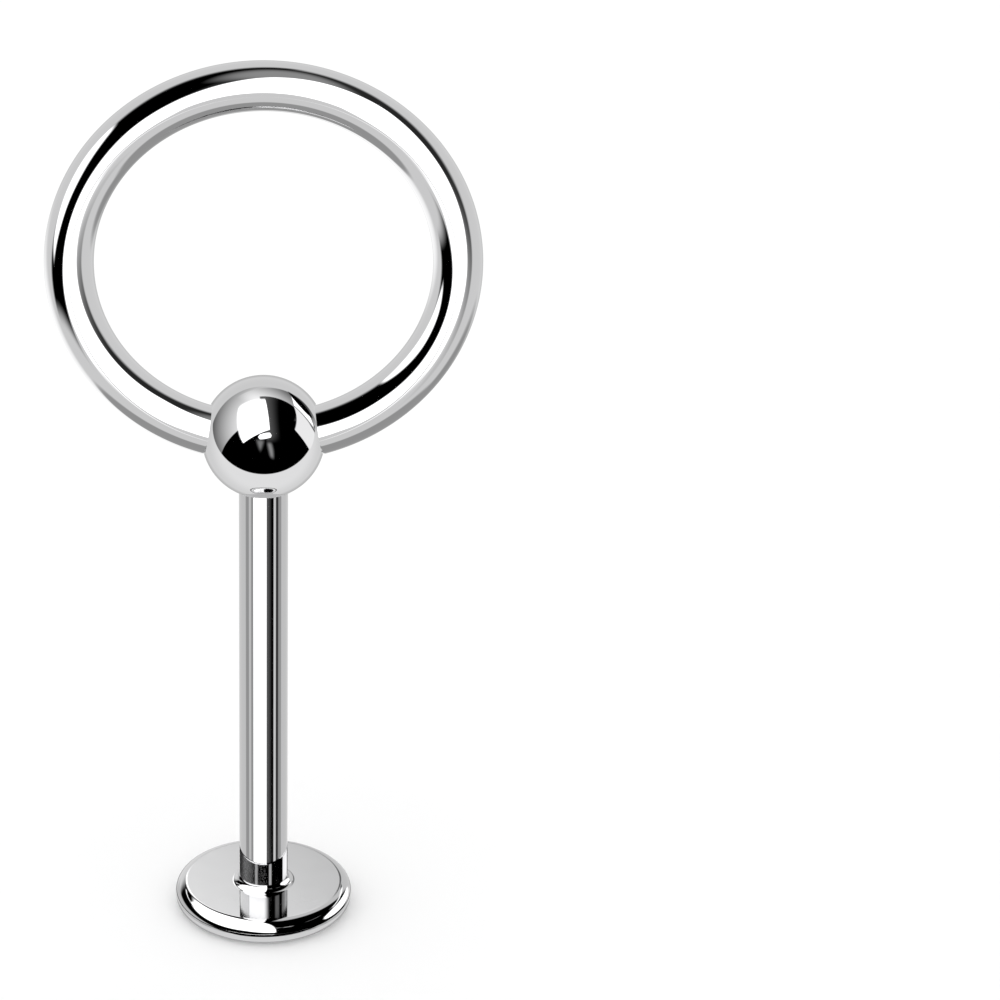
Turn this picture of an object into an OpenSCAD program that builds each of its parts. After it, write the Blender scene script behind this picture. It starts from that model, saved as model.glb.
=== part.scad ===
// Labret stud with a ring: a back disc on a post, a ball screwed on the post's threaded end,
// and a wire ring whose two ends sit in cups in the sides of the ball.
// Millimetres. It stands on the disc with its origin under the middle of the disc, +Z runs up
// the post, and the ring lies in the XZ plane.

/* [Wire] */
// Diameter of the post and of the ring's wire
wire_d = 1.2; // [1.18:0.02:1.3]

/* [Disc] */
// Diameter of the back disc
disc_d = 4.4; // [3.8:0.1:6]
// Thickness of the back disc
disc_t = 0.65; // [0.62:0.01:1]
// Radius of the disc's rounded rim, above and below
rim_r = 0.3; // [0.1:0.01:0.3]

/* [Post] */
// Length of the plain post, from the top of the disc to its shoulder
post_len = 11.2; // [10.5:0.1:16]
// Radius of the concave flare at the foot of the post
flare_r = 0.18; // [0.1:0.01:0.3]

/* [Thread] */
// Diameter over the crests of the thread
thread_d = 1.09; // [1.06:0.01:1.1]
// Rise of the thread in one turn
thread_pitch = 0.25; // [0.24:0.01:0.28]
// Length of the threaded end, from the shoulder to its tip
thread_len = 1.25; // [1.1:0.01:1.25]
// Room between the thread and the thread in the ball, measured along the radius
thread_room = 0.035; // [0.03:0.001:0.04]

/* [Ball] */
// Diameter of the ball
ball_d = 3; // [3:0.1:3.6]
// Diameter of the flat seat cut on the underside of the ball
seat_d = 1.65; // [1.5:0.05:1.9]
// Height of the two cups above the middle of the ball
cup_rise = 0.24; // [0.1:0.02:0.3]
// Room between the ring's ends and the cups
cup_room = 0.03; // [0.02:0.005:0.04]

/* [Ring] */
// Inner diameter of the ring
ring_inner_d = 8.1; // [7:0.1:8.8]
// Distance from the middle of the ball to the centre of each rounded end of the ring
ring_end_x = 1.5; // [1.46:0.01:1.5]

/* [Hidden] */

// Gap that keeps touching metal apart
seat_gap = 0.02;
// How much larger than the wire's the radius of its rounded ends is
end_flat = 0.02;
// Depth of the thread from crest to root, and its flat crest and flat root, in shares of a pitch
thread_depth = 0.13;
crest_share = 0.12;
root_share = 0.28;
// Neck between the shoulder and the first turn of the thread
neck_len = 0.1;
neck_d = 0.8;
// Bevel at the thread's tip
tip_bevel = 0.08;
// Sides of the thread, and points of each rounded corner in a turned outline
thread_sides = 16;
corner_points = 10;
// How far the threaded hole passes the tip of the thread
hole_spare = 0.06;
// Drilled end of the hole: how far it goes past the thread, and how much smaller than the roots it is
drill_spare = 0.05;
drill_ease = 0.04;
// A cut starts this far outside the metal
cut = 1;
$fn = 96;

wire_r = wire_d / 2;
disc_r = disc_d / 2;
ball_r = ball_d / 2;
thread_r = thread_d / 2;
shoulder_z = disc_t + post_len;
// Depth of the ball's flat seat below the middle of the ball
seat_drop = sqrt(ball_r * ball_r - seat_d * seat_d / 4);
ball_z = shoulder_z + seat_gap + seat_drop;
// Height of the line through both cups, about which the ring swings
swing_z = ball_z + cup_rise;
end_r = wire_r + end_flat;
cup_r = end_r + cup_room;
// Radius of the circle along the middle of the ring's wire, and where its two ends stop
ring_r = ring_inner_d / 2 + wire_r;
end_angle = asin(ring_end_x / ring_r);
ring_z = swing_z + ring_r * cos(end_angle);

// Points of a round corner about c, from angle a0 to angle a1
function corner(c, r, a0, a1) =
    [for (i = [0:corner_points]) let (a = a0 + (a1 - a0) * i / corner_points) c + r * [cos(a), sin(a)]];

// Height and radius at the four corners of each turn of a thread: root flat, then crest flat
function thread_form(crest_r) =
    let (flank = (1 - crest_share - root_share) / 2)
    [
        [0, crest_r - thread_depth],
        [root_share, crest_r - thread_depth],
        [root_share + flank, crest_r],
        [root_share + flank + crest_share, crest_r]
    ];

// A right-hand threaded rod of crest radius crest_r, from a turn below height 0 to a turn above len
module threaded_rod(crest_r, len) {
    form = thread_form(crest_r);
    corners = len(form);
    turns = ceil(len / thread_pitch) + 4;
    rows = turns * corners;
    // Rows run up the rod, and the points of a row follow the helix once round
    points = [
        for (row = [0:rows - 1], side = [0:thread_sides - 1])
            let (
                step = form[row % corners],
                turn = floor(row / corners) - 2 + step[0] + side / thread_sides,
                angle = 360 * side / thread_sides
            )
            [step[1] * cos(angle), step[1] * sin(angle), turn * thread_pitch]
    ];
    low_centre = len(points);
    high_centre = low_centre + 1;
    ends = [[0, 0, -3 * thread_pitch], [0, 0, (turns + 1) * thread_pitch]];
    // The point after the last side is the first one of the row one turn up
    function at(row, side) =
        side < thread_sides ? row * thread_sides + side : (row + corners) * thread_sides;
    top = rows - corners - 2;
    // Each cell of the skin is cut along the helix
    skin = [
        for (row = [0:top], side = [0:thread_sides - 1])
            each [
                [at(row, side), at(row + 1, side), at(row + 1, side + 1)],
                [at(row, side), at(row + 1, side + 1), at(row, side + 1)]
            ]
    ];
    low_rim = [for (side = [0:thread_sides]) at(0, side)];
    low_step = [for (k = [corners - 1:-1:1]) at(k, 0)];
    low_loop = concat(low_rim, low_step);
    high_rim = [for (side = [0:thread_sides]) at(top + 1, side)];
    high_step = [for (k = [corners - 1:-1:1]) at(top + 1 + k, 0)];
    high_loop = concat(high_rim, high_step);
    low_cap = [for (i = [0:len(low_loop) - 1])
        [low_centre, low_loop[i], low_loop[(i + 1) % len(low_loop)]]];
    high_cap = [for (i = [0:len(high_loop) - 1])
        [high_centre, high_loop[(i + 1) % len(high_loop)], high_loop[i]]];
    polyhedron(points = concat(points, ends), faces = concat(skin, low_cap, high_cap));
}

// Disc, flare and post, turned as one piece
module stud() {
    outline = concat(
        [[0, 0]],
        corner([disc_r - rim_r, rim_r], rim_r, -90, 0),
        corner([disc_r - rim_r, disc_t - rim_r], rim_r, 0, 90),
        corner([wire_r + flare_r, disc_t + flare_r], flare_r, 270, 180),
        [[wire_r, shoulder_z], [0, shoulder_z]]
    );
    color("silver")
        rotate_extrude()
            polygon(outline);
}

// Threaded end of the post, standing on the post's shoulder
module thread() {
    // The bevel's slope carries on outside the crests, so that the envelope crosses them
    envelope = [
        [0, neck_len],
        [thread_r + tip_bevel, neck_len],
        [thread_r + tip_bevel, thread_len - 2 * tip_bevel],
        [thread_r - tip_bevel, thread_len],
        [0, thread_len]
    ];
    color("gainsboro")
        translate([0, 0, shoulder_z]) {
            cylinder(d = neck_d, h = neck_len);
            intersection() {
                threaded_rod(thread_r, thread_len);
                rotate_extrude()
                    polygon(envelope);
            }
        }
}

// The hole in the ball, as a solid that stands on the shoulder's plane and matches the thread
module threaded_hole() {
    hole_r = thread_r + thread_room;
    drill_r = hole_r - thread_depth - drill_ease;
    threaded_len = thread_len + hole_spare;
    intersection() {
        threaded_rod(hole_r, threaded_len);
        translate([0, 0, -cut / 2])
            cylinder(r = hole_r + cut, h = cut / 2 + threaded_len);
    }
    translate([0, 0, thread_len])
        cylinder(r1 = drill_r, r2 = drill_r / 2, h = hole_spare + drill_spare);
}

// Ball with its flat seat, threaded hole and two cups
module ball() {
    color("lightgray")
        difference() {
            translate([0, 0, ball_z])
                sphere(r = ball_r);
            translate([0, 0, ball_z - seat_drop - cut])
                cylinder(r = ball_r, h = cut);
            translate([0, 0, shoulder_z])
                threaded_hole();
            for (side = [-1, 1])
                translate([side * ring_end_x, 0, swing_z])
                    rotate([0, 90, 0])
                        sphere(r = cup_r);
        }
}

// The ring's wire is cut out between its two ends, and each end is round about its centre
module ring_gap() {
    reach = ring_r + wire_d;
    side_x = reach * sin(end_angle);
    low_z = -reach * cos(end_angle);
    difference() {
        translate([0, 0, ring_z])
            rotate([90, 0, 0])
                linear_extrude(2 * wire_d, center = true)
                    polygon([[0, 0], [-side_x, low_z], [side_x, low_z]]);
        for (side = [-1, 1])
            translate([side * ring_end_x, 0, swing_z])
                sphere(r = end_r);
    }
}

// Open ring of wire, with both ends rounded
module ring() {
    color("whitesmoke")
        difference() {
            translate([0, 0, ring_z])
                rotate([90, 0, 0])
                    rotate_extrude()
                        translate([ring_r, 0])
                            circle(r = wire_r);
            ring_gap();
        }
}

stud();
thread();
ball();
ring();
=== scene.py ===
"""Labret stud with a ring, in mirror-polished steel, standing on its disc on a pale floor.

Mirror steel shows every facet of a mesh, so each CAD solid is shown by a finer mesh of the same
form and size. The sizes below are the part's own, in millimetres; everything else is in metres.
"""

import math

import bmesh
import bpy
import numpy as np
from mathutils import Matrix, Vector

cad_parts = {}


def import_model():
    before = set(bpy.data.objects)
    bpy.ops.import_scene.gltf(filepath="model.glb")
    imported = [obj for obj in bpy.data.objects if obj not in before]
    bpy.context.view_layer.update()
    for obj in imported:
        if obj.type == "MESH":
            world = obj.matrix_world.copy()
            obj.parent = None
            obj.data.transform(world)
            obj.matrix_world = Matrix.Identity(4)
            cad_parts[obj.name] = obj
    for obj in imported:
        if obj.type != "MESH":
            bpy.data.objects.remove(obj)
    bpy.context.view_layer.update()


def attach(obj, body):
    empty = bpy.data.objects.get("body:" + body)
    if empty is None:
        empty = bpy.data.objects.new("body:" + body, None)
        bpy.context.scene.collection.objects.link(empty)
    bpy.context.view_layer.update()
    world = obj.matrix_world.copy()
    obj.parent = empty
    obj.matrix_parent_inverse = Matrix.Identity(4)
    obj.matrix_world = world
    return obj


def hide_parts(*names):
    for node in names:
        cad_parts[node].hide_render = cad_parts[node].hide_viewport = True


MM = 0.001

# Sizes of the part, in millimetres
WIRE_R = 0.6
DISC_R = 2.2
DISC_T = 0.65
RIM_R = 0.3
FLARE_R = 0.18
SHOULDER_Z = 11.85
THREAD_R = 0.545
THREAD_PITCH = 0.25
THREAD_LEN = 1.25
THREAD_ROOM = 0.035
THREAD_DEPTH = 0.13
CREST_SHARE = 0.12
ROOT_SHARE = 0.28
NECK_LEN = 0.1
NECK_R = 0.4
TIP_BEVEL = 0.08
HOLE_SPARE = 0.06
DRILL_SPARE = 0.05
DRILL_EASE = 0.04
BALL_R = 1.5
SEAT_R = 0.825
SEAT_GAP = 0.02
CUP_RISE = 0.24
END_R = 0.62
CUP_R = 0.65
RING_R = 4.65
RING_END_X = 1.5

SEAT_DROP = math.sqrt(BALL_R**2 - SEAT_R**2)
BALL_Z = SHOULDER_Z + SEAT_GAP + SEAT_DROP
SWING_Z = BALL_Z + CUP_RISE
END_ANGLE = math.asin(RING_END_X / RING_R)
RING_Z = SWING_Z + RING_R * math.cos(END_ANGLE)

# Fineness of the meshes
TURNED_SIDES = 192
CORNER_STEPS = 14
WIRE_SIDES = 72
RING_STEPS = 320
BALL_STEPS = 96
CUP_SIDES = 96
THREAD_SIDES = 48
SHARP_ANGLE = 30

# Rows of a smaller radius are poles, and a face this near a round surface belongs to it, in millimetres
POLE_R = 1e-6
ON_SURFACE = 0.01

# Camera, fitted to the photograph
CAMERA_DISTANCE = 0.160
CAMERA_ELEVATION = 27.65
TARGET_Z = 0.011394
LENS = 236.7
SHIFT_X = 0.2365
CLIP = 0.01, 5

# Studio, with its greys as radiances
ROOM_RADIUS = 3.0
ROOM_STEP = 0.02
BAND_SIDES = 96
WHITE = 2.6
SKY = 1.15
# Bands round the post's axis, as the radius and height of both edges. The strip's heights are measured
# from the disc's top, and only rays from the post's foot and its image in the disc cross it
STRIP = (17.7 * MM, 11.3 * MM), (21.2 * MM, 11.3 * MM)
# Painted shade: a black line on the floor round the disc, seen only in reflections, as the radius and
# height of both edges
PAINTED_SHADE_LINE = (2.68 * MM, 0), (2.9 * MM, 0)
FLOOR_SIZE = 1.2
FLOOR_GAP = 0.000003

# Surfaces
STEEL = (0.62, 0.62, 0.625, 1)
TURNED_STEEL = (0.56, 0.56, 0.565, 1)
PAPER = (0.9, 0.9, 0.9, 1)
BLACK = (0, 0, 0, 1)
DISC_ROUGHNESS = 0.04

# Meshes. A row is the points of a mesh once round an axis or a wire, and their normals; a row of one
# point is a pole. A run is a list of rows whose surface is smooth. Edges between runs stay crisp.


def new_piece(name, vertices, faces, corner_normals=None):
    """An object from points in millimetres, with a normal for each corner of each face if given."""
    mesh = bpy.data.meshes.new(name)
    mesh.from_pydata(vertices, [], faces)
    mesh.shade_smooth()
    if corner_normals is not None:
        mesh.normals_split_custom_set(corner_normals)
    piece = bpy.data.objects.new(name, mesh)
    bpy.context.scene.collection.objects.link(piece)
    return piece


def skin(name, runs):
    """The surface through all runs, closed round the axis. Rows at the same place share their points."""
    vertices, faces, normals, index = [], [], [], {}

    def number(point):
        key = tuple(round(float(x), 6) for x in point)
        if key not in index:
            index[key] = len(vertices)
            vertices.append(tuple(point))
        return index[key]

    for run in runs:
        for low, high in zip(run, run[1:]):
            count = max(len(low[0]), len(high[0]))
            for k in range(count):
                n = (k + 1) % count
                corners = [(low, k), (low, n), (high, n), (high, k)]
                if len(low[0]) == 1:
                    corners = [(low, 0), (high, n), (high, k)]
                if len(high[0]) == 1:
                    corners = [(low, k), (low, n), (high, 0)]
                faces.append([number(row[0][c]) for row, c in corners])
                normals += [tuple(row[1][c]) for row, c in corners]
    return new_piece(name, vertices, faces, normals)


def turned(name, outline_runs, sides=TURNED_SIDES):
    """A body turned about Z from outline runs of (r, z, normal's r, normal's z), metal on the left."""
    turns = [2 * math.pi * k / sides for k in range(sides)]

    def row(r, z, nr, nz):
        angles = turns if r > POLE_R else turns[:1]
        points = [(r * math.cos(a), r * math.sin(a), z) for a in angles]
        return points, [(nr * math.cos(a), nr * math.sin(a), nz) for a in angles]

    return skin(name, [[row(*point) for point in run] for run in outline_runs])


def straight(a, b):
    """A straight run of an outline, from one point to another."""
    dr, dz = b[0] - a[0], b[1] - a[1]
    length = math.hypot(dr, dz)
    return [(r, z, dz / length, -dr / length) for r, z in (a, b)]


def corner(centre, radius, start, end, steps=CORNER_STEPS):
    """A round corner from one angle to another, in degrees. It is hollow where the angle falls."""
    sign = 1 if end > start else -1
    run = []
    for angle in np.radians(np.linspace(start, end, steps + 1)):
        c, s = math.cos(angle), math.sin(angle)
        run.append((centre[0] + radius * c, centre[1] + radius * s, sign * c, sign * s))
    return run


def boolean(piece, other, operation):
    """Cuts piece with other, or keeps only their common part, and removes other."""
    modifier = piece.modifiers.new("boolean", "BOOLEAN")
    modifier.operation, modifier.solver, modifier.object = operation, "EXACT", other
    depsgraph = bpy.context.evaluated_depsgraph_get()
    mesh = bpy.data.meshes.new_from_object(piece.evaluated_get(depsgraph))
    piece.modifiers.clear()
    piece.data = mesh
    mesh.name = piece.name
    bpy.data.objects.remove(other)
    return piece


def stud():
    """Disc, flare and post."""
    rim_r = DISC_R - RIM_R
    flare = (WIRE_R + FLARE_R, DISC_T + FLARE_R)
    return turned(
        "disc_and_post",
        [
            straight((0, 0), (rim_r, 0)),
            corner((rim_r, RIM_R), RIM_R, -90, 0),
            straight((DISC_R, RIM_R), (DISC_R, DISC_T - RIM_R)),
            corner((rim_r, DISC_T - RIM_R), RIM_R, 0, 90),
            straight((rim_r, DISC_T), (flare[0], DISC_T)),
            corner(flare, FLARE_R, 270, 180),
            straight((WIRE_R, flare[1]), (WIRE_R, SHOULDER_Z)),
            straight((WIRE_R, SHOULDER_Z), (0, SHOULDER_Z)),
        ],
    )


def ring():
    """Open ring of round wire, swept from one end to the other. Each end is part of a sphere."""

    def row(angle, along=0.0, tilt=0.0, end=0):
        """Round the wire at an angle from the ring's lowest point, or round one of its end spheres."""
        out = np.array((math.sin(angle), 0, -math.cos(angle)))
        ahead = end * np.array((-math.cos(angle), 0, -math.sin(angle)))
        radius = END_R * math.cos(tilt) if end else WIRE_R
        sides = WIRE_SIDES if radius > POLE_R else 1
        points, normals = [], []
        for a in (2 * math.pi * k / WIRE_SIDES for k in range(sides)):
            across = math.cos(a) * out + math.sin(a) * np.array((0, 1, 0))
            points.append(RING_R * out + radius * across + along * ahead + (0, 0, RING_Z))
            normals.append(math.cos(tilt) * across + math.sin(tilt) * ahead)
        return points, normals

    def rounded_end(end):
        tilts = np.linspace(math.acos(WIRE_R / END_R), math.pi / 2, CORNER_STEPS + 1)[1:]
        return [row(end * END_ANGLE, END_R * math.sin(t), t, end) for t in tilts]

    # The wire runs on past the centres of its end spheres until it meets their surfaces
    first = END_ANGLE - math.sqrt(END_R**2 - WIRE_R**2) / RING_R
    wire = [row(angle) for angle in np.linspace(first, 2 * math.pi - first, RING_STEPS)]
    return skin("wire_ring", [rounded_end(1)[::-1] + wire + rounded_end(-1)])


def threaded_rod(name, crest_r, length):
    """A right-hand threaded rod from a turn below the shoulder to a turn above length."""
    flank = (1 - CREST_SHARE - ROOT_SHARE) / 2
    root_r = crest_r - THREAD_DEPTH
    form = [(0, root_r), (ROOT_SHARE, root_r), (ROOT_SHARE + flank, crest_r), (1 - flank, crest_r)]
    corners, sides = len(form), THREAD_SIDES
    turns = math.ceil(length / THREAD_PITCH) + 4
    top = turns * corners - corners - 2
    points = []
    for place in range(turns * corners):
        for side in range(sides):
            rise, r = form[place % corners]
            turn = place // corners - 2 + rise + side / sides
            a = 2 * math.pi * side / sides
            points.append((r * math.cos(a), r * math.sin(a), SHOULDER_Z + turn * THREAD_PITCH))
    for turn in (-3, turns + 1):
        points.append((0, 0, SHOULDER_Z + turn * THREAD_PITCH))

    def at(place, side):
        # The point after the last side is the first one of the row one turn up
        return place * sides + side if side < sides else (place + corners) * sides

    def end_loop(place):
        rim = [at(place, side) for side in range(sides + 1)]
        return rim + [at(place + k, 0) for k in range(corners - 1, 0, -1)]

    faces = []
    for place in range(top + 1):
        for side in range(sides):
            low, high = at(place, side), at(place + 1, side + 1)
            faces += [(low, at(place, side + 1), high), (low, high, at(place + 1, side))]
    low_centre, high_centre = len(points) - 2, len(points) - 1
    for loop, centre, order in ((end_loop(0), low_centre, -1), (end_loop(top + 1), high_centre, 1)):
        faces += [(centre, a, b)[::order] for a, b in zip(loop, loop[1:] + loop[:1])]
    return new_piece(name, points, faces)


def thread():
    """Threaded end of the post: a thin neck, then the thread with its tip bevelled."""
    low, high = SHOULDER_Z + NECK_LEN, SHOULDER_Z + THREAD_LEN
    wide, narrow = THREAD_R + TIP_BEVEL, THREAD_R - TIP_BEVEL
    piece = threaded_rod("threaded_tip", THREAD_R, THREAD_LEN)
    envelope = [(0, low), (wide, low), (wide, high - 2 * TIP_BEVEL), (narrow, high), (0, high)]
    neck = [(0, SHOULDER_Z), (NECK_R, SHOULDER_Z), (NECK_R, low), (0, low)]
    boolean(piece, outline_solid(envelope), "INTERSECT")
    boolean(piece, outline_solid(neck), "UNION")
    piece.data.shade_smooth()
    piece.data.set_sharp_from_angle(angle=math.radians(SHARP_ANGLE))
    return piece


def outline_solid(outline):
    """A body turned from an outline of straight lines, for cutting others."""
    return turned("cutter", [straight(a, b) for a, b in zip(outline, outline[1:])])


def ball():
    """Ball with its flat seat, threaded hole and two cups."""
    middle = Vector((0, 0, BALL_Z))
    cups = [Vector((side * RING_END_X, 0, SWING_Z)) for side in (-1, 1)]
    piece = turned("threaded_ball", [corner((0, BALL_Z), BALL_R, -90, 90, BALL_STEPS)])
    seat_z = BALL_Z - SEAT_DROP
    under = [(0, 0), (BALL_R, 0), (BALL_R, seat_z), (0, seat_z)]
    boolean(piece, outline_solid(under), "DIFFERENCE")
    for cup in cups:
        cutter = turned("cutter", [corner((0, 0), CUP_R, -90, 90, CUP_SIDES // 2)], CUP_SIDES)
        cutter.data.transform(Matrix.Translation(cup) @ Matrix.Rotation(math.pi / 2, 4, "Y"))
        boolean(piece, cutter, "DIFFERENCE")
    boolean(piece, threaded_hole(), "DIFFERENCE")

    def normal(point, face):
        """The exact normal of the ball or a cup, or the face's own on the seat and in the hole."""
        out = face.center - middle
        if abs(out.length - BALL_R) < ON_SURFACE and face.normal.dot(out) > 0:
            return (point - middle).normalized()
        for cup in cups:
            if abs((face.center - cup).length - CUP_R) < ON_SURFACE:
                return (cup - point).normalized()
        return face.normal

    mesh = piece.data
    mesh.shade_smooth()
    corners = ((mesh.vertices[v].co, face) for face in mesh.polygons for v in face.vertices)
    mesh.normals_split_custom_set([normal(point, face) for point, face in corners])
    return piece


def threaded_hole():
    """The ball's hole as a solid: the thread with room round it, and the drilled end past it."""
    hole_r = THREAD_R + THREAD_ROOM
    drill_r = hole_r - THREAD_DEPTH - DRILL_EASE
    drill_z = SHOULDER_Z + THREAD_LEN
    end_z = drill_z + HOLE_SPARE
    tip_z = end_z + DRILL_SPARE
    piece = threaded_rod("cutter", hole_r, THREAD_LEN + HOLE_SPARE)
    wide = 2 * hole_r
    envelope = [(0, SHOULDER_Z), (wide, SHOULDER_Z), (wide, end_z), (0, end_z)]
    boolean(piece, outline_solid(envelope), "INTERSECT")
    drill = [(0, drill_z), (drill_r, drill_z), (drill_r / 2, tip_z), (0, tip_z)]
    return boolean(piece, outline_solid(drill), "UNION")


# Materials


def new_material(name):
    """A material, its Principled shader, and a function that adds nodes to it."""
    material = bpy.data.materials.new(name)
    material.use_nodes = True
    shader = material.node_tree.nodes["Principled BSDF"]
    return material, shader, node_adder(material.node_tree)


def node_adder(tree):
    """A function that adds a node with settings, and with values or links for its inputs."""

    def add(kind, inputs=None, **settings):
        node = tree.nodes.new(kind)
        for key, value in settings.items():
            setattr(node, key, value)
        for key, value in (inputs or {}).items():
            if isinstance(value, bpy.types.NodeSocket):
                tree.links.new(value, node.inputs[key])
            else:
                node.inputs[key].default_value = value
        return node

    return add


def polished_steel():
    """Mirror-polished bare steel, with a faint haze and a slow waviness left by the polishing wheel.

    The flat top of the disc is a little duller than the round faces that the wheel reaches.
    """
    material, shader, add = new_material("polished_steel")
    shader.inputs["Base Color"].default_value = STEEL
    shader.inputs["Metallic"].default_value = 1
    place = add("ShaderNodeTexCoord").outputs["Object"]
    haze = add("ShaderNodeTexNoise", {"Vector": place, "Scale": 2600, "Detail": 4, "Roughness": 0.6})
    rough = add(
        "ShaderNodeMapRange",
        {"Value": haze.outputs["Fac"], "From Min": 0.35, "From Max": 0.75, "To Min": 0.018, "To Max": 0.05},
    )
    height = add("ShaderNodeSeparateXYZ", {0: place}).outputs["Z"]
    low = add("ShaderNodeMath", {0: height, 1: (DISC_T + FLARE_R) * MM}, operation="LESS_THAN")
    normal = add("ShaderNodeNewGeometry").outputs["Normal"]
    facing = add("ShaderNodeSeparateXYZ", {0: normal}).outputs["Z"]
    flat = add("ShaderNodeMapRange", {"Value": facing, "From Min": 0.98, "From Max": 0.999})
    dull = add("ShaderNodeMath", {0: low.outputs[0], 1: flat.outputs["Result"]}, operation="MULTIPLY")
    face = add(
        "ShaderNodeMapRange",
        {"Value": dull.outputs[0], "To Min": rough.outputs["Result"], "To Max": DISC_ROUGHNESS},
    )
    material.node_tree.links.new(face.outputs["Result"], shader.inputs["Roughness"])
    wave = add("ShaderNodeTexNoise", {"Vector": place, "Scale": 900, "Detail": 1})
    bump = add("ShaderNodeBump", {"Height": wave.outputs["Fac"], "Strength": 0.2, "Distance": 0.000004})
    material.node_tree.links.new(bump.outputs["Normal"], shader.inputs["Normal"])
    return material


def machined_steel():
    """Turned steel of the thread, with the fine rings that the tool leaves."""
    material, shader, add = new_material("machined_steel")
    shader.inputs["Base Color"].default_value = TURNED_STEEL
    shader.inputs["Metallic"].default_value = 1
    place = add("ShaderNodeTexCoord").outputs["Object"]
    stretched = add("ShaderNodeMapping", {"Vector": place, "Scale": (2000, 2000, 40000)})
    marks = add("ShaderNodeTexNoise", {"Vector": stretched.outputs["Vector"], "Scale": 1, "Detail": 3})
    rough = add("ShaderNodeMapRange", {"Value": marks.outputs["Fac"], "To Min": 0.16, "To Max": 0.34})
    material.node_tree.links.new(rough.outputs["Result"], shader.inputs["Roughness"])
    bump = add("ShaderNodeBump", {"Height": marks.outputs["Fac"], "Strength": 0.3, "Distance": 0.000003})
    material.node_tree.links.new(bump.outputs["Normal"], shader.inputs["Normal"])
    return material


def pale_paper():
    """The floor: matt white paper."""
    material, shader, _ = new_material("pale_paper")
    shader.inputs["Base Color"].default_value = PAPER
    shader.inputs["Roughness"].default_value = 0.9
    shader.inputs["Specular IOR Level"].default_value = 0
    return material


# Studio. Mirror steel shows nothing but the room round it, so the stud, the ring and the ball with the
# thread have a room each, a large sphere that nothing else reflects. A room is one grey and then layers
# painted over it in order, and a polished piece shows its greys at about two thirds. Directions are an
# azimuth, 0 towards the camera's side and 90 to its right, and an elevation above the horizon, in degrees.


def direction(azimuth, elevation):
    """The unit vector of a direction."""
    a, e = math.radians(azimuth), math.radians(elevation)
    return Vector((math.sin(a) * math.cos(e), -math.cos(a) * math.cos(e), math.sin(e)))


def cap(azimuth, elevation, half_angle):
    """The directions within an angle of one direction."""
    return [(direction(azimuth, elevation), half_angle)]


def above(elevation):
    """The directions above an elevation."""
    return cap(0, 90, 90 - elevation)


def below(elevation):
    """The directions below an elevation."""
    return cap(0, -90, 90 + elevation)


def between(left, right):
    """The directions between two azimuths less than half a turn apart."""
    return cap(left + 90, 0, 90) + cap(right - 90, 0, 90)


def card(*corners):
    """A flat card seen from the part. Its corners are directions, and its outline bulges."""
    points = [direction(*place) for place in corners]
    middle = sum(points, Vector())
    limits = []
    for a, b in zip(points, points[1:] + points[:1]):
        across = a.cross(b).normalized()
        limits.append((across if across.dot(middle) > 0 else -across, 90))
    return limits


def side(a, b, inside):
    """The directions on one side of the straight line through two of them."""
    across = direction(*a).cross(direction(*b)).normalized()
    return [(across if across.dot(direction(*inside)) > 0 else -across, 90)]


def ramp(axis, near, near_grey, far, far_grey):
    """A grey that changes with the angle from an axis."""
    return direction(*axis), near, near_grey, far, far_grey


def layer(grey, soft, *limits):
    """A grey or a ramp inside all limits. Its edge fades over a width, or over one for each limit."""
    limits = [limit for group in limits for limit in group]
    return grey, soft if isinstance(soft, tuple) else (soft,) * len(limits), limits


def cosine(angle):
    """The cosine of an angle, which is kept between 0 and 180 degrees."""
    return math.cos(math.radians(min(max(angle, 0), 180)))


def room_paint(name, base, layers):
    """An emission that depends on the direction from the room's middle. Rays pass through it."""
    material = bpy.data.materials.new(name)
    material.use_nodes = True
    material.cycles.emission_sampling = "NONE"
    tree = material.node_tree
    tree.nodes.clear()
    add = node_adder(tree)
    place = add("ShaderNodeTexCoord").outputs["Object"]
    way = add("ShaderNodeVectorMath", {0: place}, operation="NORMALIZE").outputs["Vector"]

    def between_angles(axis, far, near, low=0.0, high=1.0, **settings):
        """Low at an angle from an axis or farther, and high at a smaller angle or nearer."""
        share = add("ShaderNodeVectorMath", {0: way, 1: tuple(axis)}, operation="DOT_PRODUCT")
        values = {"From Min": cosine(far), "From Max": cosine(near), "To Min": low, "To Max": high}
        values["Value"] = share.outputs["Value"]
        return add("ShaderNodeMapRange", values, **settings).outputs["Result"]

    value = base
    for grey, softs, limits in layers:
        mask = 1.0
        for (axis, half), soft in zip(limits, softs, strict=True):
            far, near = half + soft / 2, half - soft / 2
            inside = between_angles(axis, far, near, interpolation_type="SMOOTHSTEP")
            mask = add("ShaderNodeMath", {0: mask, 1: inside}, operation="MULTIPLY").outputs[0]
        if isinstance(grey, tuple):
            axis, near, near_grey, far, far_grey = grey
            grey = between_angles(axis, far, near, far_grey, near_grey)
        mixed = add("ShaderNodeMapRange", {"Value": mask, "To Min": value, "To Max": grey})
        value = mixed.outputs["Result"]
    glow = add("ShaderNodeEmission", {"Strength": value})
    clear = add("ShaderNodeBsdfTransparent")
    both = add("ShaderNodeAddShader", {0: clear.outputs[0], 1: glow.outputs[0]})
    add("ShaderNodeOutputMaterial", {"Surface": both.outputs[0]})
    return material


def shown_to(pieces, shape, name, height, base, layers):
    """Puts a painted shape on the post's axis, at a height, that only the given pieces reflect."""
    shape.materials.append(room_paint(name, base, layers))
    shell = bpy.data.objects.new(name, shape)
    shell.location.z = height
    bpy.context.scene.collection.objects.link(shell)
    shell.visible_camera = shell.visible_diffuse = shell.visible_shadow = False
    collection = bpy.data.collections.new(name)
    for piece in pieces:
        collection.objects.link(piece)
    shell.light_linking.receiver_collection = collection


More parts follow.
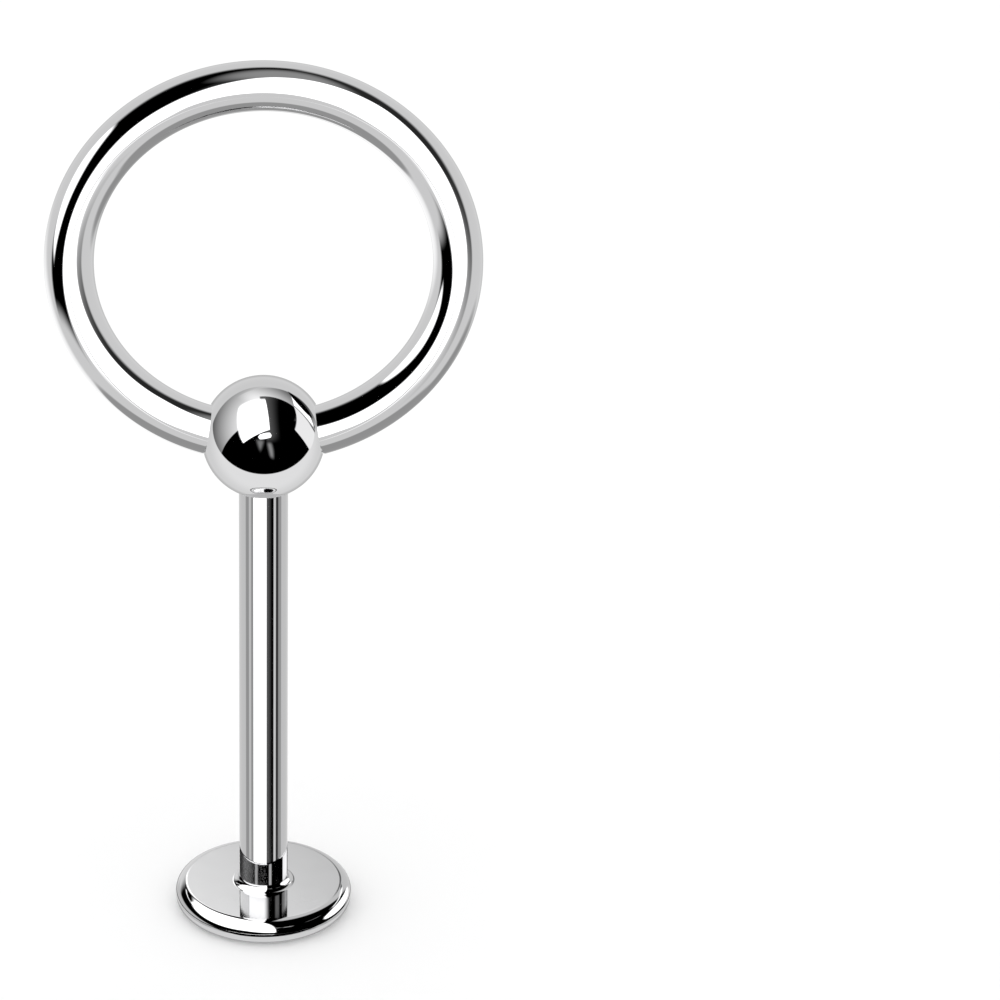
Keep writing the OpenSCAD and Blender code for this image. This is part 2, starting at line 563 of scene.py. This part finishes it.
def room(pieces, name, height, base, layers, number):
    """A room round the middle of a piece, at a height in millimetres. Higher numbers are larger."""
    sphere = bmesh.new()
    bmesh.ops.create_icosphere(sphere, subdivisions=3, radius=ROOM_RADIUS + ROOM_STEP * number)
    shape = bpy.data.meshes.new(name)
    sphere.to_mesh(shape)
    sphere.free()
    shown_to(pieces, shape, name, height * MM, base, layers)


def ball_room(pieces):
    """Black studio with a softbox high at the left, a card and a strip at the right, and a pale floor."""
    floor_line, behind_card = cap(2, 58, 105), cap(111, -50, 90)
    lamp = card((-11, 26), (-8, 31), (3, 34), (14, 34), (17, 29), (15, 25), (3, 23), (-7, 22))
    softbox = [*side((-56, 23), (-38, 10), (-30, 50)), *side((-100, 48), (-153, 70), (-30, 50)),
               *cap(-80, 2, 92.5), *cap(-154, 36, 104), *cap(56, 39, 88), *cap(1, 4, 97)]
    room(pieces, "ball_room", BALL_Z, 1.17, [
        layer(0.92, 50, cap(-177, -10, 67)),
        layer(0.6, 24, cap(180, -28, 26)),
        # Grey wall at the left and behind, lighter towards the softbox
        layer(ramp((30, 39), 0, 1.9, 135, 0.1), (3, 2), cap(-1, 19, 116), floor_line),
        layer(ramp((-30, 0), 90, 1.77, 149, 0.1), (3, 30), cap(11, 15, 115), cap(145, 43, 46)),
        # Black front
        layer(0.0, (1.5, 1.2, 3), floor_line, cap(25, -27, 95.5), cap(10, -45, 101)),
        # Card at the right, the bright strip behind it and the dark gap past it
        layer(1.32, (1, 1, 2, 1.5, 1.5), cap(139, 25, 63), cap(71, 27, 50.5), cap(152, -59, 106),
              cap(-31, -13, 138), behind_card),
        layer(0.5, (1, 1, 1.5), cap(149, 15, 41), cap(0, 18, 114), behind_card),
        layer(WHITE, (1, 1, 1.5), cap(149, 15, 38.5), cap(0, 17, 112), behind_card),
        layer(0.0, (1.5, 2), cap(136, 18, 19), cap(-15, 8, 135.5)),
        # Black above at the right, with a little of the softbox's light
        layer(0.0, (2, 1, 3, 20), cap(1, 10, 98), cap(-28, 59, 75), cap(97, 3, 90), cap(15, 84, 62)),
        layer(0.15, (2, 1, 26, 3, 20), cap(1, 10, 98), cap(-28, 59, 75), cap(-83, -3, 106),
              cap(97, 3, 90), cap(15, 84, 62)),
        # Softbox, high at the left
        layer(WHITE, (1, 8, 1.2, 1, 5, 8), softbox),
        # Small lamp in front, and its light on two stands
        layer(WHITE, 1.2, lamp),
        layer(0.3, 9, card((-13, 20), (0, 20), (-2, 8), (-6, 1), (-9, 6))),
        layer(0.4, 8, card((7, 15), (14, 15), (18, 0), (17, -14), (13, -12), (8, 6))),
    ], 0)


def ring_room(pieces):
    """Dark studio with a large light in front, a smaller one at the left, and a grey floor."""
    front_light = card((72, 40), (66, 18), (60, 0), (48, -18), (30, -31), (0, -34), (-24, -31), (-31, -5),
                       (-33, 12), (-25, 33), (-2, 60), (35, 64), (60, 56))
    frame_edge = card((64, 6), (80, 4), (74, -12), (64, -27), (52, -39), (36, -48), (24, -46), (22, -38))
    notch = card((0, -30), (3, -22), (5.5, -13), (3, -9.5), (0, -8.5), (-3, -9.5), (-5.5, -13), (-3, -22))
    left_light = card((-100, 29), (-86, 29), (-72, 20), (-60, 2), (-60, -12), (-70, -22), (-80, -18),
                      (-92, 0), (-100, 16))
    room(pieces, "ring_room", RING_Z, 0.93, [
        # Greyer ground behind, below and at the right, and some light low at the left
        layer(0.72, 20, cap(180, -28, 30)),
        layer(0.5, 12, cap(170, -56, 24)),
        layer(1.4, 26, cap(-142, -46, 22)),
        layer(0.42, 12, cap(122, -56, 20)),
        layer(0.44, 5, cap(0, -90, 33)),
        # Black above, and down the left
        layer(0.03, (14, 16), cap(1, 34, 81), above(-22)),
        layer(0.0, (10, 6, 9), cap(17, 8, 104), cap(-117, 0, 90), above(-37)),
        # Dim ceiling
        layer(0.4, 24, cap(30, 74, 20)),
        # Dark frame at the lower right of the front light
        layer(ramp((75, 5), 5, 0.05, 60, 0.8), 8, frame_edge),
        # Front light with a grey notch from below, and the smaller light at the left
        layer(WHITE, 5, front_light),
        layer(0.93, 5, cap(0, -38, 10)),
        layer(0.93, 1, notch),
        layer(2.0, 5, left_light),
    ], 1)


def stud_room(pieces):
    """Studio with softboxes overhead, a window at the right, and a striped belt for the post."""
    floor_line = above(-31.4)
    window = card((80, -3), (85, -11), (95, -14), (120, -14), (135, -9), (143, 0), (143, 8), (132, 18),
                  (120, 23), (105, 25), (90, 18), (81, 8))
    # The post reflects only a narrow belt below the horizon, and its foot one as far above it
    belt, foot_belt = floor_line + below(-25.5), above(29.9) + below(32.1)
    room(pieces, "stud_room", SHOULDER_Z / 2, 0.98, [
        layer(0.45, 24, cap(180, -42, 30)),
        layer(0.0, (0.6, 14), floor_line, cap(0, 20, 130)),
        layer(0.75, (12, 8, 0.6), side((-150, -40), (-150, 10), (-120, -20)), cap(-142.8, -56.4, 61.3),
              floor_line),
        # Overhead softboxes
        layer(WHITE, (3, 6), side((15, 0), (15, 60), (-80, 60)), cap(39.6, 64.3, 74)),
        layer(WHITE, (3, 5), side((15, 0), (15, 60), (-30, 40)), cap(-34.5, 63.3, 59.4)),
        # Window at the right and the grey wall behind it
        layer(2.2, 5, window),
        layer(0.8, 8, card((137, 40), (142, 0), (150, -25), (180, -20), (180, 60), (150, 75))),
        # Belt that the post reflects
        layer(0.82, 0.5, belt),
        layer(0.45, (0.5, 0.5, 6), belt, cap(0, 0, 92)),
        layer(0.8, (0.5, 0.5, 4, 4), belt, between(-73, -61)),
        layer(WHITE, (0.5, 0.5, 4, 5), belt, between(-48, 15)),
        layer(ramp((100, 0), 65, 0.0, 86, 0.18), (0.5, 0.5, 4, 4), belt, between(14, 50)),
        layer(0.9, (0.5, 0.5, 4, 6), belt, between(49, 61)),
        layer(0.04, (0.5, 0.5, 4, 6), belt, between(61, 74)),
        # The near strip stands in for the belt that the foot and the disc reflect
        layer(0.0, (0.5, 0.5, 4, 1), foot_belt, between(-165, 1)),
        layer(0.0, (0.5, 0.5, 1, 4), foot_belt, between(-1, 165)),
        # What the disc's top reflects, lighter to the left
        layer(ramp((117, -37), 87, 0.16, 93, 1.9), 4, above(26), below(36), between(168, 192)),
    ], 2)


def band(name, *circles):
    """A band round the post's axis between two circles, each with its radius and height."""
    mesh = bmesh.new()
    edges = []
    for radius, _ in circles:
        edges.append(bmesh.ops.create_circle(mesh, segments=BAND_SIDES, radius=radius)["verts"])
    for verts, (_, height) in zip(edges, circles):
        bmesh.ops.translate(mesh, verts=verts, vec=(0, 0, height))
    first, last = edges
    for i in range(BAND_SIDES):
        mesh.faces.new((first[i - 1], last[i - 1], last[i], first[i]))
    shape = bpy.data.meshes.new(name)
    mesh.to_mesh(shape)
    mesh.free()
    return shape


def post_strip(pieces):
    """A lit strip above that only the foot of the post and its image in the disc reflect."""
    shape = band("post_strip", *STRIP)
    foot, image = below(30.25), above(30.5)
    shown_to(pieces, shape, "post_strip", DISC_T * MM, 0.0, [
        # What the foot reflects by way of the disc
        layer(ramp((-90, 0), 0, 0.4, 45, 0.08), (0.4, 4, 8), foot, between(-150, -50)),
        layer(0.75, (0.4, 5, 5), foot, between(-41, -28)),
        layer(1.0, (0.4, 4, 5), foot, between(26, 38)),
        layer(2.3, (0.4, 5, 4), foot, between(105, 150)),
        # What the disc reflects by way of the post
        layer(1.6, (0.4, 4, 6), image, between(-150, -74)),
        layer(WHITE, (0.4, 8, 26), image, between(-73, 14)),
        layer(0.25, (0.4, 8, 8), image, between(58, 80)),
        layer(ramp((90, 0), 10, 0.0, 60, 1.0), (0.4, 4, 4), image, between(100, 150)),
    ])


def painted_shade_line():
    """Painted shade: a black line on the floor just outside the disc, hidden from the camera, that the
    disc's rim reflects as the shade round its foot.
    """
    shape = band("painted_shade_line", *PAINTED_SHADE_LINE)
    material, shader, _ = new_material("painted_shade_line")
    shader.inputs["Base Color"].default_value = BLACK
    shader.inputs["Specular IOR Level"].default_value = 0
    shape.materials.append(material)
    mark = bpy.data.objects.new("painted_shade_line", shape)
    bpy.context.scene.collection.objects.link(mark)
    mark.visible_camera = mark.visible_diffuse = mark.visible_shadow = False


def pale_floor():
    """A plain pale floor just under the part."""
    half = FLOOR_SIZE / 2
    corners = [(-half, -half, 0), (half, -half, 0), (half, half, 0), (-half, half, 0)]
    mesh = bpy.data.meshes.new("floor")
    mesh.from_pydata(corners, [], [(0, 1, 2, 3)])
    mesh.materials.append(pale_paper())
    floor = bpy.data.objects.new("floor", mesh)
    floor.location.z = -FLOOR_GAP
    floor.visible_glossy = False
    bpy.context.scene.collection.objects.link(floor)


def soft_sky():
    """Soft white light from all round, which the steel doesn't reflect."""
    sky = bpy.data.worlds.new("sky")
    bpy.context.scene.world = sky
    sky.use_nodes = True
    background = sky.node_tree.nodes["Background"].inputs
    background["Color"].default_value = (1, 1, 1, 1)
    background["Strength"].default_value = SKY
    sky.cycles_visibility.glossy = False


def camera():
    """The camera at the photograph's angle."""
    eye = bpy.data.objects.new("camera", bpy.data.cameras.new("camera"))
    bpy.context.scene.collection.objects.link(eye)
    eye.data.lens, eye.data.shift_x = LENS, SHIFT_X
    eye.data.clip_start, eye.data.clip_end = CLIP
    eye.location = Vector((0, 0, TARGET_Z)) + CAMERA_DISTANCE * direction(0, CAMERA_ELEVATION)
    eye.rotation_euler = (math.radians(90 - CAMERA_ELEVATION), 0, 0)
    bpy.context.scene.camera = eye
    bpy.context.scene.view_settings.view_transform = "Standard"


def main():
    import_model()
    steel, turned_steel = polished_steel(), machined_steel()
    pieces = {}
    for node, make, material, slot in (
        ("stud", stud, steel, "polished_steel"),
        ("thread", thread, turned_steel, "machined_steel"),
        ("ball", ball, steel, "polished_steel"),
        ("ring", ring, steel, "polished_steel"),
    ):
        piece = make()
        piece.data.transform(Matrix.Scale(MM, 4))
        piece.data.materials.append(material)
        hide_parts(node)
        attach(piece, node)
        pieces[node] = piece
    ball_room([pieces["ball"], pieces["thread"]])
    ring_room([pieces["ring"]])
    stud_room([pieces["stud"]])
    post_strip([pieces["stud"]])
    # Painted shade round the disc's foot, seen only in its rim
    painted_shade_line()
    # Each piece shows its own room and not the pieces above it
    pieces["ring"].visible_glossy = pieces["ball"].visible_glossy = False
    pale_floor()
    soft_sky()
    camera()


main()
